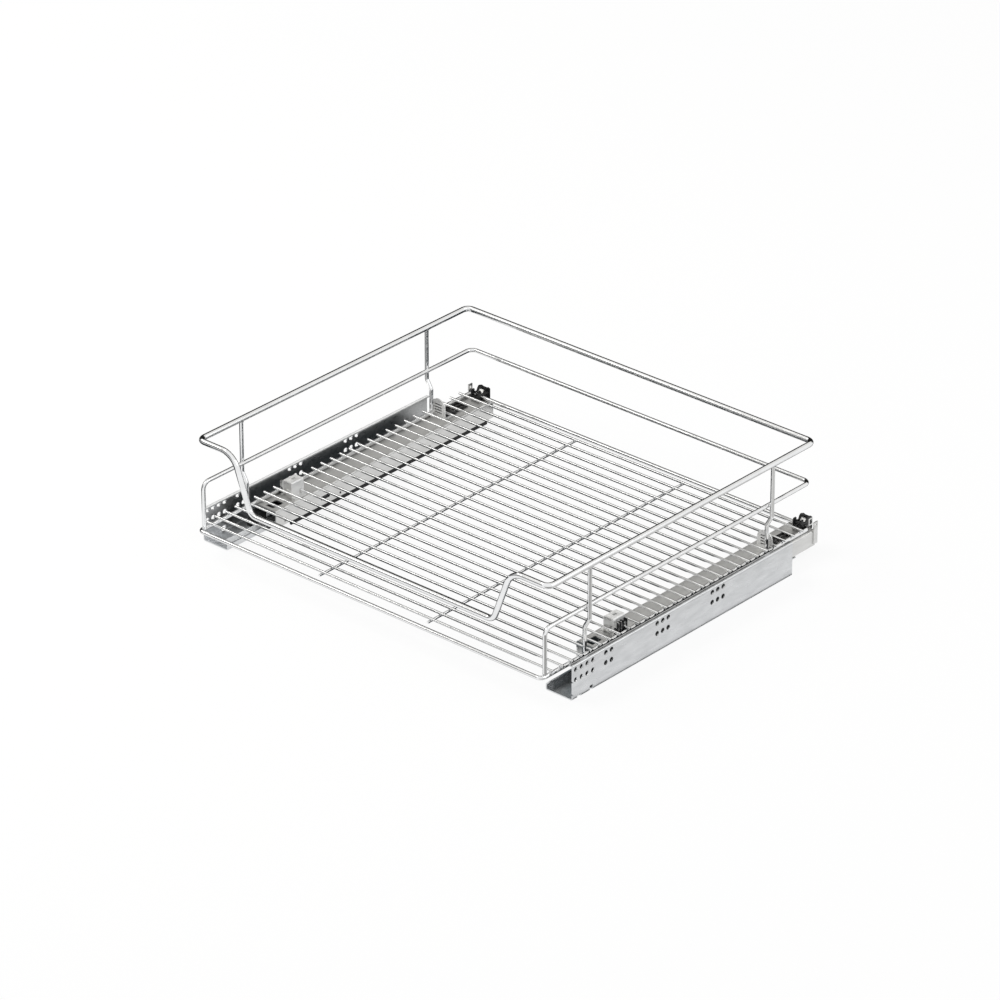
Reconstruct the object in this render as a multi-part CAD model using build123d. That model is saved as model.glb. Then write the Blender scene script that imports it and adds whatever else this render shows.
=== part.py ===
from build123d import *
import os

# A wire basket on a pair of full-extension undermount slides with soft close.
# Millimetres. X runs across, Y from front to back, Z up. Zero is the middle of the
# underside. Pieces are modelled with Y = 0 at the front wire of the base frame and
# shifted at the end. Each slide is modelled on the right and mirrored to the left.

# How far a cut runs past the face it opens
overcut = 1.0

# Basket: spans are between wire centres, heights are above the base frame's centre
base_wire = 5.0
base_width = 521.0
base_depth = 469.0
base_corner = 6.0
floor_wire = 3.0
floor_wire_count = 28
floor_wire_overhang = 5.0
support_wire = 3.0
support_wire_spacing = 165.4
support_wire_end_gap = 11.0
top_wire = 7.0
top_rail_height = 113.5
top_rail_corner = 8.5
top_rail_setback = 7.0
top_rail_rear_gap = 1.6
dip_shoulder = 54.0
dip_run = 26.2
dip_depth = 69.9
dip_top_bend = 25.0
dip_bottom_bend = 12.0
middle_wire = 5.0
middle_rail_inset = 0.9
middle_rail_height = 59.5
middle_rail_bend = 9.0
upright_wire = 4.8
upright_front = 76.5
upright_rear_gap = 74.5
upright_jog_top = 45.5
upright_jog_bottom = 33.5
upright_jog_bend = 5.0
upright_foot_gap = 0.2
upright_weld_sink = 2.0

# Slide: the heights stack up from the floor of the cabinet member
slide_travel = 400.0
closing_travel = 48.0
sheet = 1.5
thin_sheet = 1.2
inside_bend = 0.8
roller = 4.44
roller_clearance = 0.03
intermediate_height = 17.0
intermediate_width = 12.0
foot_flange = 4.4
head_flange = 7.0
outer_foot_flange = 2.8
outer_head_flange = 1.6
guard_clearance = 0.4
running_clearance = 0.5
carrier_side_gap = 1.8
guide_side_gap = 1.7

# Cabinet member
wall_to_base_rail = 21.5
cabinet_length = 384.0
drawer_setback = 67.0
cabinet_height = 43.5
trough_width = 39.0
top_lip = 5.5
low_wall = 7.3
low_wall_lip = 4.6
hole_pitch = 9.6
hole_rows_apart = 12.8
hole_row_height = 24.9
mounting_hole = 6.0
hole_group_places = (5.3, 56.0, 144.0, 240.2)
hole_group_counts = (4, 2, 3, 3)
foot_notch_places = (8.0, 29.0)
foot_notch_lengths = (7.0, 6.0)
foot_notch_heights = (4.0, 7.0)
front_nick_heights = (6.0, 22.0)
nick_depth = 1.5
nick_height = 2.0
guide_foot = 8.5
guide_start_gap = 72.0
guide_rivet = 3.0
guide_rivet_head = 5.0
guide_rivet_head_height = 1.2
rivet_clearance = 0.05

# Intermediate member and its roller cages
intermediate_length = 340.0
intermediate_setback = 5.0
intermediate_corner = 1.5
front_cap_length = 20.0
front_cap_plug = 10.0
front_cap_nose = 9.0
cap_clearance = 0.15
cage_width = 15.0
cage_thickness = 2.3
cage_window_clearance = 0.3
cage_end_gap = 3.0
roller_length = 11.0
roller_pitch = 23.0

# Drawer member
drawer_length = 379.0
drawer_past_basket = 5.0
drawer_width = 36.0
wall_to_drawer = 16.5
inner_flange = 22.0
outer_flange = 19.5
bead_height = 1.4
bead_gap = 0.4
web_window_inset = 8.5
web_window_width = 12.0
web_window_place = 4.0
web_window_length = 18.0
rear_notch_length = 4.0
rear_notch_height = 3.0
rear_notch_level = 6.0
flange_slot_place = 76.0
flange_slot_length = 15.0
flange_slot_width = 5.0
flange_slot_height = 6.5
flange_hole = 3.0
flange_hole_places = (15.0, 109.0, 265.0)
flange_hole_height = 4.5
carrier_front_gap = 25.0
carrier_length = 320.0
carrier_top_flange = 8.0
carrier_lip = 8.5
strip_front_gap = 25.0
strip_length = 343.0
strip_height = 5.0
strip_lip_height = 4.0
strip_lip = 0.9

# Soft close
housing_rear_gap = 1.0
housing_length = 123.0
housing_width = 10.6
housing_height = 17.0
housing_floor = 1.0
housing_wall = 1.2
damper_bore = 5.4
damper_wall = 1.0
damper_end_wall = 1.2
damper_rod = 2.2
damper_piston = 5.3
damper_piston_length = 3.0
damper_height = 5.2
damper_rear_room = 8.4
rod_hole_clearance = 0.05
catch_bar = 2.8
catch_bar_height = 6.0
catch_arm = 4.0
catch_length = 59.0
jaw_width = 4.8
jaw_length = 14.5
jaw_prong = 3.0
jaw_prong_height = 4.9
spring_coil = 4.0
spring_wire = 0.5
pin = 3.2
pin_head = 5.6
pin_head_height = 1.0
pin_depth = 7.1
pin_gap = 0.4
housing_rivet = 2.4
housing_rivet_head = 3.4
housing_rivet_head_height = 0.6
housing_rivet_places = (5.0, 40.0, 118.0)

# Basket fixings on the drawer member
clip_width = 13.8
clip_inset = 9.1
clip_height = 20.0
clip_place = 36.0
clip_length = 20.0
clip_foot = 5.0
clip_window_length = 7.0
clip_window_width = 4.0
wire_gap = 0.3
bracket_width = 22.0
bracket_inset = 10.5
bracket_rear_gap = 75.0
bracket_height = 24.0
bracket_foot = 14.0
louvre_count = 4
louvre_length = 12.0
louvre_width = 1.6
louvre_pitch = 3.6
hook_inset = 12.5
hook_front_prong = 7.2
hook_rear_prong = 11.2
hook_front_height = 10.0
hook_rear_height = 13.0
hook_bridge = 3.4
hook_tongue = 5.0
tab_length = 7.0
tab_rear_reach = 3.0
tab_bottom = 17.0
tab_height = 11.0
tab_hole = 3.0

# Levels worked out from the stack
floor_top = sheet
roller_gap = roller + 2 * roller_clearance
intermediate_bottom = floor_top + roller_gap
intermediate_top = intermediate_bottom + intermediate_height
web_bottom = intermediate_top + roller_gap
web_top = web_bottom + sheet
base_level = web_top + base_wire / 2
floor_wire_level = base_level + base_wire / 2 + floor_wire / 2
support_wire_level = floor_wire_level - floor_wire / 2 - support_wire / 2
top_level = base_level + top_rail_height
middle_level = base_level + middle_rail_height

# Places across, from the middle to the right
base_x = base_width / 2
middle_x = base_x - middle_rail_inset
upright_top_x = middle_x + middle_wire / 2 + upright_wire / 2
upright_bottom_x = base_x - base_wire / 2 - upright_wire / 2 + upright_weld_sink
top_x = upright_top_x
wall_face = base_x + wall_to_base_rail
trough_x = wall_face - trough_width
drawer_outer = wall_face - wall_to_drawer
drawer_inner = drawer_outer - drawer_width
intermediate_right = drawer_outer - sheet - outer_head_flange - guard_clearance
intermediate_left = intermediate_right - intermediate_width
intermediate_x = intermediate_left + intermediate_width / 2
carrier_x = intermediate_left - head_flange - carrier_side_gap - thin_sheet
guide_x = intermediate_right + outer_foot_flange + guide_side_gap
housing_outer = trough_x
housing_inner = housing_outer - housing_width

# Places from front to back
top_front = top_rail_setback
top_rear = base_depth - top_rail_rear_gap
upright_rear = base_depth - upright_rear_gap
drawer_rear = base_depth + drawer_past_basket
drawer_front = drawer_rear - drawer_length
cabinet_front = drawer_front - drawer_setback
cabinet_rear = cabinet_front + cabinet_length
intermediate_front = drawer_front + intermediate_setback
intermediate_rear = intermediate_front + intermediate_length
housing_rear = cabinet_rear - housing_rear_gap
housing_front = housing_rear - housing_length
clip_front = drawer_front + clip_place
bracket_front = drawer_rear - bracket_rear_gap
wire_room = base_wire / 2 + wire_gap
hook_front = base_depth - wire_room - hook_front_prong
hook_rear = base_depth + wire_room + hook_rear_prong
part_front = -base_wire / 2
part_middle = (part_front + hook_rear) / 2

# Soft close, worked out from the catch
cavity_left = housing_inner + housing_wall
cavity_right = housing_outer - housing_wall
cavity_bottom = housing_floor + housing_wall
cavity_top = housing_floor + housing_height - housing_wall
catch_left = cavity_left + guard_clearance
damper_x = (cavity_left + cavity_right) / 2
damper_level = housing_floor + damper_height
damper_length = closing_travel + damper_piston_length + 4 * damper_end_wall
damper_rear = housing_rear - housing_wall - damper_rear_room
damper_front = damper_rear - damper_length
arm_rear = damper_front - damper_end_wall
arm_front = arm_rear - catch_arm
catch_rear = arm_front + catch_length
pin_y = catch_rear - jaw_prong - pin_gap - pin / 2
pin_x = catch_left + jaw_width / 2
carrier_flange_bottom = web_bottom - thin_sheet
pin_bottom = carrier_flange_bottom - pin_depth
jaw_top = pin_bottom - running_clearance
spring_x = cavity_right - guard_clearance - spring_coil / 2
spring_level = damper_level + damper_bore / 2 + damper_wall + 2 * guard_clearance + spring_coil / 2


def block(left, right, front, rear, bottom, top):
    """A block between six planes."""
    centre = Pos((left + right) / 2, (front + rear) / 2, (bottom + top) / 2)
    return centre * Box(right - left, rear - front, top - bottom)


def rod_across(diameter, left, right, y, z):
    """A rod along X."""
    return Pos((left + right) / 2, y, z) * Rot(0, 90, 0) * Cylinder(diameter / 2, right - left)


def rod_back(diameter, x, front, rear, z):
    """A rod along Y."""
    return Pos(x, (front + rear) / 2, z) * Rot(90, 0, 0) * Cylinder(diameter / 2, rear - front)


def rod_up(diameter, x, y, bottom, top):
    """A rod along Z."""
    return Pos(x, y, (bottom + top) / 2) * Cylinder(diameter / 2, top - bottom)


def bent_wire(diameter, points, bends):
    """Round wire along straight runs joined by bends."""
    path = FilletPolyline(*points, radius=bends)
    section = Plane(origin=path @ 0, z_dir=path % 0) * Circle(diameter / 2)
    return sweep(section, path=path)


def both_halves(half):
    """A wire made whole from its right half."""
    return half + half.mirror(Plane.YZ)


def section_back(face, front, rear):
    """A section drawn as (x, z), drawn out from front to rear."""
    return extrude(Plane.XZ.offset(-front) * face, amount=front - rear)


def sheet_side(points, distance):
    """The line at a distance to the left of a folded sheet's middle line."""
    side = []
    for index, here in enumerate(points):
        came = here - points[max(index - 1, 0)]
        goes = points[min(index + 1, len(points) - 1)] - here
        came = (came if came.length > 0 else goes).normalized()
        goes = (goes if goes.length > 0 else came).normalized()
        middle = (came + goes).normalized()
        reach = distance / middle.dot(goes)
        side.append(here + Vector(-middle.Y, middle.X) * reach)
    return side


def folded_sheet(thickness, places, front, rear):
    """Sheet steel folded along the middle line through places, each (x, z)."""
    points = [Vector(x, z) for x, z in places]
    left_bends = []
    right_bends = []
    for before, here, after in zip(points, points[1:], points[2:]):
        turns_left = (here - before).cross(after - here).Z > 0
        left_bends.append(inside_bend if turns_left else inside_bend + thickness)
        right_bends.append(inside_bend + thickness if turns_left else inside_bend)
    left = sheet_side(points, thickness / 2)
    right = sheet_side(points, -thickness / 2)
    bends = [0, *left_bends, 0, 0, *reversed(right_bends), 0]
    outline = FilletPolyline(*left, *reversed(right), radius=bends, close=True)
    return section_back(make_face(outline), front, rear)


# Basket

def base_frame():
    """The rectangle of wire that the basket stands on."""
    corners = [
        (0, 0, base_level),
        (base_x, 0, base_level),
        (base_x, base_depth, base_level),
        (0, base_depth, base_level),
    ]
    return both_halves(bent_wire(base_wire, corners, base_corner))


def floor_wires():
    """The wires of the floor, across the top of the base frame."""
    end = base_x + floor_wire_overhang
    pitch = base_depth / (floor_wire_count + 1)
    wires = []
    for number in range(1, floor_wire_count + 1):
        wires.append(rod_across(floor_wire, -end, end, number * pitch, floor_wire_level))
    return Compound(wires)


def support_wires():
    """The two long wires under the floor wires."""
    rear = base_depth - support_wire_end_gap
    x = support_wire_spacing / 2
    return Compound([
        rod_back(support_wire, -x, support_wire_end_gap, rear, support_wire_level),
        rod_back(support_wire, x, support_wire_end_gap, rear, support_wire_level),
    ])


def top_rail():
    """The rim, which dips at the front for reaching in."""
    half = bent_wire(
        top_wire,
        [
            (0, top_front, top_level - dip_depth),
            (top_x - dip_shoulder - dip_run, top_front, top_level - dip_depth),
            (top_x - dip_shoulder, top_front, top_level),
            (top_x, top_front, top_level),
            (top_x, top_rear, top_level),
            (0, top_rear, top_level),
        ],
        [dip_bottom_bend, dip_top_bend, top_rail_corner, top_rail_corner],
    )
    return both_halves(half)


def middle_rail(base):
    """The rail halfway up, with two legs that stand on the base frame."""
    half = bent_wire(
        middle_wire,
        [
            (middle_x, top_front, base_level),
            (middle_x, top_front, middle_level),
            (middle_x, base_depth, middle_level),
            (0, base_depth, middle_level),
        ],
        middle_rail_bend,
    )
    return both_halves(half) - base


def upright(y, base):
    """A stay from under the rim to the inside of the base frame, which it is welded into."""
    stay = bent_wire(
        upright_wire,
        [
            (upright_top_x, y, top_level),
            (upright_top_x, y, base_level + upright_jog_top),
            (upright_bottom_x, y, base_level + upright_jog_bottom),
            (upright_bottom_x, y, web_top + upright_foot_gap),
        ],
        upright_jog_bend,
    )
    return stay - rod_back(top_wire, top_x, y - top_wire, y + top_wire, top_level) - base


def uprights(base):
    """The four stays."""
    right = [upright(upright_front, base), upright(upright_rear, base)]
    return Compound(right + [stay.mirror(Plane.YZ) for stay in right])


# Cabinet member

def mounting_holes():
    """Cutters for the two rows of screw holes in the wall plate."""
    cutters = []
    for place, count in zip(hole_group_places, hole_group_counts):
        for number in range(count):
            y = cabinet_front + place + number * hole_pitch
            for row in range(2):
                z = hole_row_height + row * hole_rows_apart
                cutters.append(
                    rod_across(mounting_hole, wall_face - 2 * sheet, wall_face + sheet, y, z)
                )
    return cutters


def housing_rivet_spots():
    """Where the soft-close housing is riveted to the low wall, as (y, z)."""
    level = low_wall / 2 + inside_bend / 2
    return [(housing_front + place, level) for place in housing_rivet_places]


def guide_rivet_spots():
    """Where the guide rail is riveted to the floor, as (x, y)."""
    x = guide_x + thin_sheet + guide_foot / 2
    front = cabinet_front + guide_start_gap
    length = cabinet_rear - front
    return [(x, front + length * share / 4) for share in (1, 2, 3)]


def cabinet_member():
    """The trough that is screwed to the cabinet's side."""
    wall_x = wall_face - sheet / 2
    low_x = trough_x + sheet / 2
    member = folded_sheet(
        sheet,
        [
            (wall_face - top_lip, cabinet_height - sheet / 2),
            (wall_x, cabinet_height - sheet / 2),
            (wall_x, sheet / 2),
            (low_x, sheet / 2),
            (low_x, low_wall),
            (low_x + low_wall_lip, low_wall + low_wall_lip),
        ],
        cabinet_front,
        cabinet_rear,
    )
    member -= mounting_holes()
    notches = zip(foot_notch_places, foot_notch_lengths, foot_notch_heights)
    for place, length, height in notches:
        front = cabinet_front + place
        edge = wall_face - 2 * sheet
        member -= block(edge, wall_face + sheet, front, front + length, -sheet, height)
    for height in front_nick_heights:
        rear = cabinet_front + nick_depth
        edge = wall_face - sheet
        member -= block(edge, wall_face + sheet, cabinet_front, rear, height, height + nick_height)
    hole = housing_rivet + 2 * rivet_clearance
    for y, z in housing_rivet_spots():
        member -= rod_across(hole, trough_x - sheet, trough_x + 2 * sheet, y, z)
    hole = guide_rivet + 2 * rivet_clearance
    for x, y in guide_rivet_spots():
        member -= rod_up(hole, x, y, -sheet, 2 * sheet)
    return member


def guide_rail():
    """The rail that keeps the intermediate member down on its outer side."""
    x = guide_x + thin_sheet / 2
    lip_level = intermediate_bottom + thin_sheet + guard_clearance + thin_sheet / 2
    rail = folded_sheet(
        thin_sheet,
        [
            (guide_x + guide_foot, floor_top + thin_sheet / 2),
            (x, floor_top + thin_sheet / 2),
            (x, lip_level),
            (intermediate_right + outer_foot_flange / 2, lip_level),
        ],
        cabinet_front + guide_start_gap,
        cabinet_rear,
    )
    hole = guide_rivet + 2 * rivet_clearance
    for x, y in guide_rivet_spots():
        rail -= rod_up(hole, x, y, 0, floor_top + 2 * thin_sheet)
    return rail


def guide_rivets():
    """Rivets that hold the guide rail on the floor, flush below."""
    seat = floor_top + thin_sheet
    rivets = []
    for x, y in guide_rivet_spots():
        head = rod_up(guide_rivet_head, x, y, seat, seat + guide_rivet_head_height)
        rivets.append(rod_up(guide_rivet, x, y, 0, seat) + head)
    return Compound(rivets)


# Intermediate member and rollers

def intermediate_member():
    """The closed rail between the two others, with flanges that hold it down."""
    wide = intermediate_width
    tall = intermediate_height
    core = intermediate_corner - thin_sheet
    tube = RectangleRounded(wide, tall, intermediate_corner)
    tube -= RectangleRounded(wide - 2 * thin_sheet, tall - 2 * thin_sheet, core)
    tube = Pos(intermediate_x, intermediate_bottom + tall / 2) * tube
    foot = intermediate_bottom + thin_sheet / 2
    head = intermediate_top - thin_sheet / 2
    flanges = (
        (intermediate_left - foot_flange, intermediate_left + intermediate_corner, foot),
        (intermediate_right - intermediate_corner, intermediate_right + outer_foot_flange, foot),
        (intermediate_left - head_flange, intermediate_left + intermediate_corner, head),
        (intermediate_right - intermediate_corner, intermediate_right + outer_head_flange, head),
    )
    for left, right, level in flanges:
        tube += Pos((left + right) / 2, level) * Rectangle(right - left, thin_sheet)
    return section_back(tube, intermediate_front, intermediate_rear)


def front_cap():
    """The plastic nose in the front of the intermediate member."""
    wall = thin_sheet + cap_clearance
    plug = block(
        intermediate_left + wall,
        intermediate_right - wall,
        intermediate_front - sheet,
        intermediate_front + front_cap_plug,
        intermediate_bottom + wall,
        intermediate_top - wall,
    )
    nose = block(
        intermediate_left,
        intermediate_right,
        intermediate_front - front_cap_length,
        intermediate_front,
        intermediate_bottom,
        intermediate_top,
    )
    front_edges = nose.edges().filter_by(Axis.X).group_by(Axis.Y)[0]
    ramp = front_edges.sort_by(Axis.Z)[-1]
    return chamfer(ramp, front_cap_nose) + plug


def roller_places(front, rear):
    """Where a cage's rollers sit, evenly spaced about its middle."""
    count = int((rear - front - roller) / roller_pitch)
    first = (front + rear - (count - 1) * roller_pitch) / 2
    return [first + number * roller_pitch for number in range(count)]


def cage(front, rear, level):
    """A strip of plastic with a window for each roller."""
    half = cage_width / 2
    bottom = level - cage_thickness / 2
    top = level + cage_thickness / 2
    strip = block(intermediate_x - half, intermediate_x + half, front, rear, bottom, top)
    along = roller / 2 + cage_window_clearance
    across = roller_length / 2 + cage_window_clearance
    for y in roller_places(front, rear):
        left = intermediate_x - across
        right = intermediate_x + across
        strip -= block(left, right, y - along, y + along, bottom - overcut, top + overcut)
    return strip


def rollers(front, rear, level):
    """The rollers of one cage."""
    left = intermediate_x - roller_length / 2
    right = intermediate_x + roller_length / 2
    places = roller_places(front, rear)
    return Compound([rod_across(roller, left, right, y, level) for y in places])


def lower_span():
    """Front, rear and level of the lower cage, which keeps between its members."""
    front = cabinet_front + slide_travel / 4 + cage_end_gap
    rear = intermediate_rear - slide_travel / 4 - cage_end_gap
    return front, rear, floor_top + roller_gap / 2


def upper_span():
    """Front, rear and level of the upper cage, which keeps between its members."""
    front = intermediate_front + slide_travel / 4 + cage_end_gap
    rear = drawer_rear - slide_travel / 4 - cage_end_gap
    return front, rear, intermediate_top + roller_gap / 2


# Drawer member

def drawer_member():
    """The inverted channel that the basket stands on."""
    inner_x = drawer_inner + sheet / 2
    outer_x = drawer_outer - sheet / 2
    web_level = web_top - sheet / 2
    member = folded_sheet(
        sheet,
        [
            (inner_x, web_top - inner_flange),
            (inner_x, web_level),
            (outer_x, web_level),
            (outer_x, web_top - outer_flange),
        ],
        drawer_front,
        drawer_rear,
    )
    bead_top = intermediate_top - thin_sheet - bead_gap
    bead_left = drawer_outer - sheet - outer_head_flange + bead_gap / 2
    member += block(
        bead_left, outer_x, drawer_front, drawer_rear, bead_top - bead_height, bead_top
    )
    left = drawer_inner + web_window_inset
    right = left + web_window_width
    front = drawer_front + web_window_place
    rear = front + web_window_length
    member -= block(left, right, front, rear, web_bottom - overcut, web_top + overcut)
    front = drawer_rear - rear_notch_length
    bottom = web_top - outer_flange + rear_notch_level
    top = bottom + rear_notch_height
    rear = drawer_rear + overcut
    member -= block(drawer_outer - 2 * sheet, drawer_outer + overcut, front, rear, bottom, top)
    front = drawer_front + flange_slot_place
    rear = front + flange_slot_length
    bottom = web_top - inner_flange + flange_slot_height
    top = bottom + flange_slot_width
    member -= block(drawer_inner - overcut, drawer_inner + sheet + overcut, front, rear, bottom, top)
    for place in flange_hole_places:
        level = web_top - inner_flange + flange_hole_height
        y = drawer_front + place
        member -= rod_across(flange_hole, drawer_inner - overcut, drawer_inner + sheet + overcut, y, level)
    return member


def carrier_rail():
    """The rail under the web that hooks under the intermediate member's head."""
    x = carrier_x + thin_sheet / 2
    lip_level = intermediate_top - thin_sheet - running_clearance - thin_sheet / 2
    front = drawer_front + carrier_front_gap
    return folded_sheet(
        thin_sheet,
        [
            (x - carrier_top_flange, web_bottom - thin_sheet / 2),
            (x, web_bottom - thin_sheet / 2),
            (x, lip_level),
            (carrier_x + carrier_lip, lip_level),
        ],
        front,
        front + carrier_length,
    )


def edge_strip():
    """The plastic strip clipped along the inner flange's lower edge."""
    edge = web_top - inner_flange
    front = drawer_front + strip_front_gap
    rear = front + strip_length
    flange_right = drawer_inner + sheet
    foot = block(drawer_inner, flange_right + strip_lip, front, rear, edge - strip_height, edge)
    lip = block(flange_right, flange_right + strip_lip, front, rear, edge, edge + strip_lip_height)
    return foot + lip


# Soft close

def damper_housing():
    """The open case of the soft close, with a slot in its top for the catch."""
    top = housing_floor + housing_height
    case = block(
        cavity_left, housing_outer, housing_front, housing_rear, housing_floor, top
    )
    case -= block(
        cavity_left - overcut,
        cavity_right,
        housing_front + housing_wall,
        housing_rear - housing_wall,
        cavity_bottom,
        cavity_top,
    )
    slot_front = catch_rear - jaw_length - closing_travel - running_clearance
    case -= block(
        cavity_left - overcut,
        catch_left + jaw_width + running_clearance,
        slot_front,
        catch_rear + running_clearance,
        cavity_top - overcut,
        top + overcut,
    )
    hole = housing_rivet + 2 * rivet_clearance
    for y, z in housing_rivet_spots():
        case -= rod_across(hole, cavity_right - overcut, housing_outer + overcut, y, z)
    return case


def damper_cover():
    """The flat lid on the side of the case."""
    top = housing_floor + housing_height
    return block(housing_inner, cavity_left, housing_front, housing_rear, housing_floor, top)


def damper_cylinder():
    """The damper's closed tube, held in the rear of the case."""
    outer = damper_bore + 2 * damper_wall
    tube = rod_back(outer, damper_x, damper_front, damper_rear, damper_level)
    bore_front = damper_front + damper_end_wall
    bore_rear = damper_rear - damper_end_wall
    tube -= rod_back(damper_bore, damper_x, bore_front, bore_rear, damper_level)
    hole = damper_rod + 2 * rod_hole_clearance
    return tube - rod_back(hole, damper_x, damper_front - overcut, bore_front + overcut, damper_level)


def damper_rod_and_piston():
    """The rod that the catch pushes into the damper."""
    piston_rear = damper_rear - 2 * damper_end_wall
    piston_front = piston_rear - damper_piston_length
    rod = rod_back(damper_rod, damper_x, arm_rear, piston_front, damper_level)
    return rod + rod_back(damper_piston, damper_x, piston_front, piston_rear, damper_level)


def return_spring():
    """The envelope of the coil spring that pulls the catch to the rear."""
    rear = housing_rear - housing_wall
    coil = rod_back(spring_coil, spring_x, arm_rear, rear, spring_level)
    core = spring_coil - 2 * spring_wire
    return coil - rod_back(core, spring_x, arm_rear - overcut, rear + overcut, spring_level)


def catch_carriage():
    """The slider that the pin draws forward and the spring draws back."""
    bar_top = cavity_top - guard_clearance
    right = catch_left + catch_bar
    bar = block(catch_left, right, arm_front, catch_rear, bar_top - catch_bar_height, bar_top)
    arm = block(
        catch_left,
        cavity_right - 2 * running_clearance,
        arm_front,
        arm_rear,
        cavity_bottom + guard_clearance,
        bar_top,
    )
    jaw_right = catch_left + jaw_width
    jaw_bottom = bar_top - thin_sheet
    jaw = block(catch_left, jaw_right, catch_rear - jaw_length, catch_rear, jaw_bottom, jaw_top)
    prong_top = jaw_top + jaw_prong_height
    prong = block(catch_left, jaw_right, catch_rear - jaw_prong, catch_rear, jaw_top, prong_top)
    return bar + arm + jaw + prong


def housing_rivets():
    """Rivets that hold the case on the low wall."""
    rivets = []
    wall_right = trough_x + sheet
    for y, z in housing_rivet_spots():
        shank = rod_across(housing_rivet, cavity_right, wall_right, y, z)
        height = housing_rivet_head_height
        outside = rod_across(housing_rivet_head, wall_right, wall_right + height, y, z)
        inside = rod_across(housing_rivet_head, cavity_right - height, cavity_right, y, z)
        rivets.append(shank + outside + inside)
    return Compound(rivets)


def actuator_pin():
    """The pin under the drawer member that drives the catch."""
    head_bottom = carrier_flange_bottom - pin_head_height
    head = rod_up(pin_head, pin_x, pin_y, head_bottom, carrier_flange_bottom)
    return head + rod_up(pin, pin_x, pin_y, pin_bottom, head_bottom)


# Basket fixings

def front_clip():
    """The sheet-metal clip that straddles a floor wire on the drawer member."""
    left = drawer_inner + clip_inset
    right = left + clip_width
    top = web_top + clip_height - thin_sheet / 2
    foot = web_top + thin_sheet / 2
    clip = folded_sheet(
        thin_sheet,
        [
            (left - clip_foot, foot),
            (left, foot),
            (left, top),
            (right, top),
            (right, foot),
            (right + clip_foot - thin_sheet, foot),
        ],
        clip_front,
        clip_front + clip_length,
    )
    pitch = base_depth / (floor_wire_count + 1)
    half = floor_wire / 2 + wire_gap
    for number in range(1, floor_wire_count + 1):
        y = number * pitch
        if clip_front - half < y < clip_front + clip_length + half:
            slot = block(
                left - clip_foot,
                right + clip_foot,
                y - half,
                y + half,
                web_top + thin_sheet,
                floor_wire_level + half,
            )
            clip -= slot
    middle = clip_front + clip_length / 2
    centre = (left + right) / 2
    return clip - block(
        centre - clip_window_width / 2,
        centre + clip_window_width / 2,
        middle - clip_window_length / 2,
        middle + clip_window_length / 2,
        top - thin_sheet,
        top + thin_sheet,
    )


def rear_bracket():
    """The arched, louvred plate that stands on the drawer member."""
    left = drawer_inner + bracket_inset
    right = left + bracket_width
    centre = (left + right) / 2
    arch = bracket_width / 2
    spring_line = web_top + bracket_height - arch
    plate = Pos(centre, (web_top + spring_line) / 2) * Rectangle(bracket_width, spring_line - web_top)
    plate += Pos(centre, spring_line) * Circle(arch)
    for number in range(louvre_count):
        level = spring_line - (louvre_count - 2 - number) * louvre_pitch
        plate -= Pos(centre, level) * SlotOverall(louvre_length, louvre_width)
    upright_plate = section_back(plate, bracket_front, bracket_front + thin_sheet)
    rail_left = base_x - base_wire / 2 - wire_gap
    foot = block(
        left,
        rail_left,
        bracket_front,
        bracket_front + bracket_foot,
        web_top,
        web_top + thin_sheet,
    )
    rail_room = block(
        rail_left,
        right + overcut,
        bracket_front - overcut,
        bracket_front + thin_sheet + overcut,
        web_top - overcut,
        base_level + base_wire / 2 + wire_gap,
    )
    return upright_plate - rail_room + foot


def rear_hook():
    """The plastic hook that holds the rear wire of the base frame down."""
    left = drawer_inner + hook_inset
    right = base_x - base_corner - wire_gap
    bridge_bottom = base_level + wire_room
    front_rear = base_depth - wire_room
    rear_front = base_depth + wire_room
    front_top = web_top + hook_front_height
    rear_top = web_top + hook_rear_height
    front_prong = block(left, right, hook_front, front_rear, web_top, front_top)
    rear_prong = block(left, right, rear_front, hook_rear, web_top, rear_top)
    bridge_top = bridge_bottom + hook_bridge
    bridge = block(left, right, front_rear, rear_front, bridge_bottom, bridge_top)
    tongue_front = drawer_rear + wire_gap
    tongue = block(left, right, tongue_front, hook_rear, web_top - hook_tongue, web_top)
    return front_prong + rear_prong + bridge + tongue


def rear_tab():
    """The upright steel tab on the outside of the drawer member's rear end."""
    outer = drawer_outer + thin_sheet
    rear = drawer_rear + tab_rear_reach
    bottom = web_top - tab_bottom
    top = web_top + tab_height
    tab = block(drawer_outer, outer, rear - tab_length, rear, bottom, top)
    middle = rear - tab_length / 2
    level = web_top + tab_height / 2 + tab_hole / 2
    return tab - rod_across(tab_hole, drawer_outer - overcut, outer + overcut, middle, level)


def slide_pieces():
    """Every piece of the right slide by name."""
    return {
        "cabinet_member": cabinet_member(),
        "guide_rail": guide_rail(),
        "guide_rivets": guide_rivets(),
        "damper_housing": damper_housing(),
        "damper_cover": damper_cover(),
        "damper_cylinder": damper_cylinder(),
        "housing_rivets": housing_rivets(),
        "damper_rod": damper_rod_and_piston(),
        "return_spring": return_spring(),
        "catch_carriage": catch_carriage(),
        "lower_cage": cage(*lower_span()),
        "lower_rollers": rollers(*lower_span()),
        "intermediate_member": intermediate_member(),
        "front_cap": front_cap(),
        "upper_cage": cage(*upper_span()),
        "upper_rollers": rollers(*upper_span()),
        "drawer_member": drawer_member(),
        "carrier_rail": carrier_rail(),
        "edge_strip": edge_strip(),
        "actuator_pin": actuator_pin(),
        "front_clip": front_clip(),
        "rear_bracket": rear_bracket(),
        "rear_hook": rear_hook(),
        "rear_tab": rear_tab(),
    }


def basket_pieces():
    """Every piece of the basket by name."""
    base = base_frame()
    return {
        "base_frame": base,
        "floor_wires": floor_wires(),
        "support_wires": support_wires(),
        "top_rail": top_rail(),
        "middle_rail": middle_rail(base),
        "uprights": uprights(base),
    }


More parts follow.
